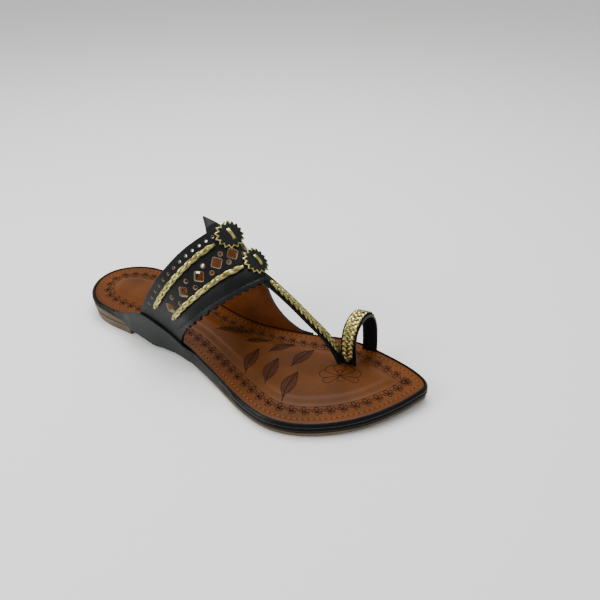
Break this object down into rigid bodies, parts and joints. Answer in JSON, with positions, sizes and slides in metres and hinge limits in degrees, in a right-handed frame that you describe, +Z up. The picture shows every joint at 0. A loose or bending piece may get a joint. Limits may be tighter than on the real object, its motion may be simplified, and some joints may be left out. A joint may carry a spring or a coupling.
{
  "type": "toe-ring sandal",
  "caption": "Flat right-foot leather sandal with a punched instep band, gold braid trim, rosettes, a T-strap and a toe ring on a padded tan footbed.",
  "frame": {"origin": "on the floor under the middle of the shoe", "axes": "+X from heel to toe, +Y to the big-toe side, +Z up"},
  "size_m": [0.2548, 0.0924, 0.0956],
  "materials": {
    "outsole_leather": "matt, dyed olive brown at the edge",
    "heel_leather": "matt stacked leather",
    "black_leather": "satin, fine grain",
    "tan_leather": "semi-gloss with burnt line ornament and orange stitching",
    "gold_braid": "metallic gold, plaited strips"
  },
  "bodies": {
    "root": {"outsole": "outsole_leather", "heel_block": "heel_leather", "rand": "black_leather", "footbed": "tan_leather", "upper": "black_leather", "side_cover_lateral": "black_leather", "side_cover_medial": "black_leather", "braid_rear_lateral": "gold_braid", "braid_rear_medial": "gold_braid", "braid_front_lateral": "gold_braid", "braid_front_medial": "gold_braid", "rosette_rear_gold": "gold_braid", "rosette_rear_black": "black_leather", "thong_rear": "gold_braid", "rosette_front_gold": "gold_braid", "rosette_front_black": "black_leather", "thong_front": "gold_braid", "braid_t_strap": "gold_braid", "braid_ring": "gold_braid"}
  },
  "joints": []
}
